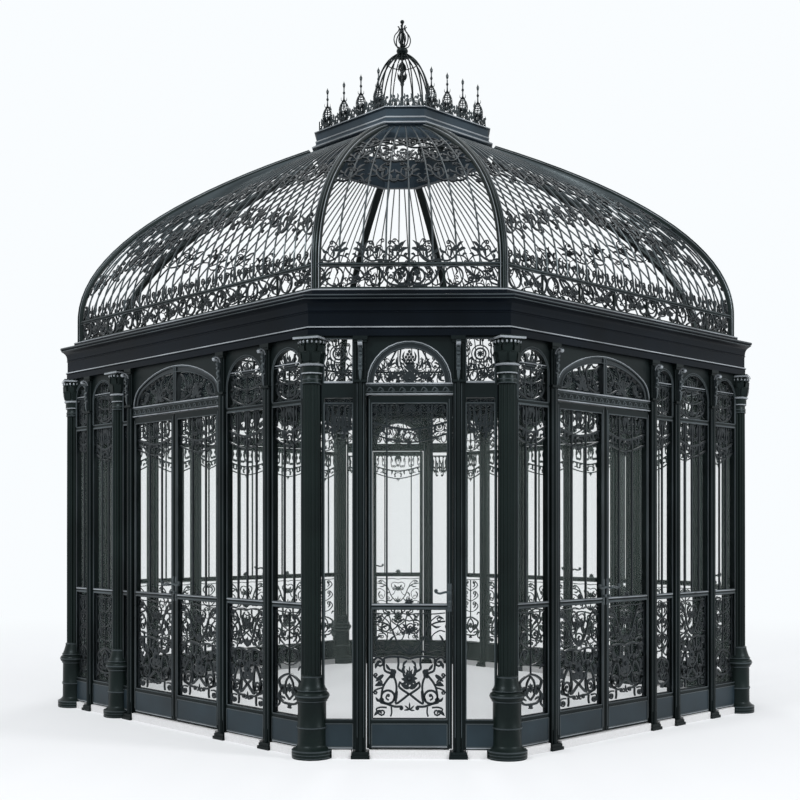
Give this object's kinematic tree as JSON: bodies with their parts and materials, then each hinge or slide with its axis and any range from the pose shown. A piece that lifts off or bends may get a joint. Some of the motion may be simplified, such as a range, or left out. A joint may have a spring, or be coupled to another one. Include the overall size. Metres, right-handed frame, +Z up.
{
  "type": "garden_pavilion",
  "caption": "Wrought iron garden pavilion on a cut-cornered rectangular plan, glazed screens and doors between fluted columns, cornice, open lattice dome, crested lantern and bird-cage cupola.",
  "frame": {"origin": "on the ground, under the centre of the plan", "axes": "+X along the longer walls to their right end, +Y from the front wall to the back wall, +Z up"},
  "size_m": [5.7194, 5.4194, 6.594],
  "materials": {
    "painted_iron": "satin dark green-black paint",
    "kerb_stone": "honed",
    "clear_glass": "clear"
  },
  "bodies": {
    "root": {"kerb": "kerb_stone", "corner_columns": "painted_iron", "bay_columns": "painted_iron", "posts": "painted_iron", "front_screens": "painted_iron", "right_screens": "painted_iron", "back_screens": "painted_iron", "left_screens": "painted_iron", "corner_screens": "painted_iron", "door_fanlights": "painted_iron", "corner_fanlights": "painted_iron", "door_pivots": "painted_iron", "back_doors": "painted_iron", "left_doors": "painted_iron", "fixed_corner_doors": "painted_iron", "wall_glass": "clear_glass", "lintel": "painted_iron", "cornice": "painted_iron", "dome_ribs": "painted_iron", "dome_frieze": "painted_iron", "dome_panel_front": "painted_iron", "dome_panel_right": "painted_iron", "dome_panel_back": "painted_iron", "dome_panel_left": "painted_iron", "dome_corner_panels": "painted_iron", "lantern": "painted_iron", "cresting": "painted_iron", "cupola": "painted_iron", "finial": "painted_iron"},
    "front_door_left": {"front_door_left": "painted_iron", "front_door_left_glass": "clear_glass"},
    "front_door_right": {"front_door_right": "painted_iron", "front_door_right_glass": "clear_glass"},
    "right_door_left": {"right_door_left": "painted_iron", "right_door_left_glass": "clear_glass"},
    "right_door_right": {"right_door_right": "painted_iron", "right_door_right_glass": "clear_glass"},
    "corner_door": {"corner_door": "painted_iron", "corner_door_glass": "clear_glass"}
  },
  "joints": [
    {"name": "front_door_left_hinge", "type": "hinge", "parent": "root", "child": "front_door_left", "pos_m": [-0.621, -2.56495, 0.068], "axis": [0, 0, -1], "range_deg": [0, 90]},
    {"name": "front_door_right_hinge", "type": "hinge", "parent": "root", "child": "front_door_right", "pos_m": [0.596, -2.56495, 0.068], "axis": [0, 0, 1], "range_deg": [0, 90]},
    {"name": "right_door_left_hinge", "type": "hinge", "parent": "root", "child": "right_door_left", "pos_m": [2.71495, -1.016, 0.068], "axis": [0, 0, -1], "range_deg": [0, 90]},
    {"name": "right_door_right_hinge", "type": "hinge", "parent": "root", "child": "right_door_right", "pos_m": [2.71495, 0.136, 0.068], "axis": [0, 0, 1], "range_deg": [0, 90]},
    {"name": "corner_door_hinge", "type": "hinge", "parent": "root", "child": "corner_door", "pos_m": [2.02128, -2.26867, 0.068], "axis": [0, 0, -1], "range_deg": [0, 90]}
  ]
}
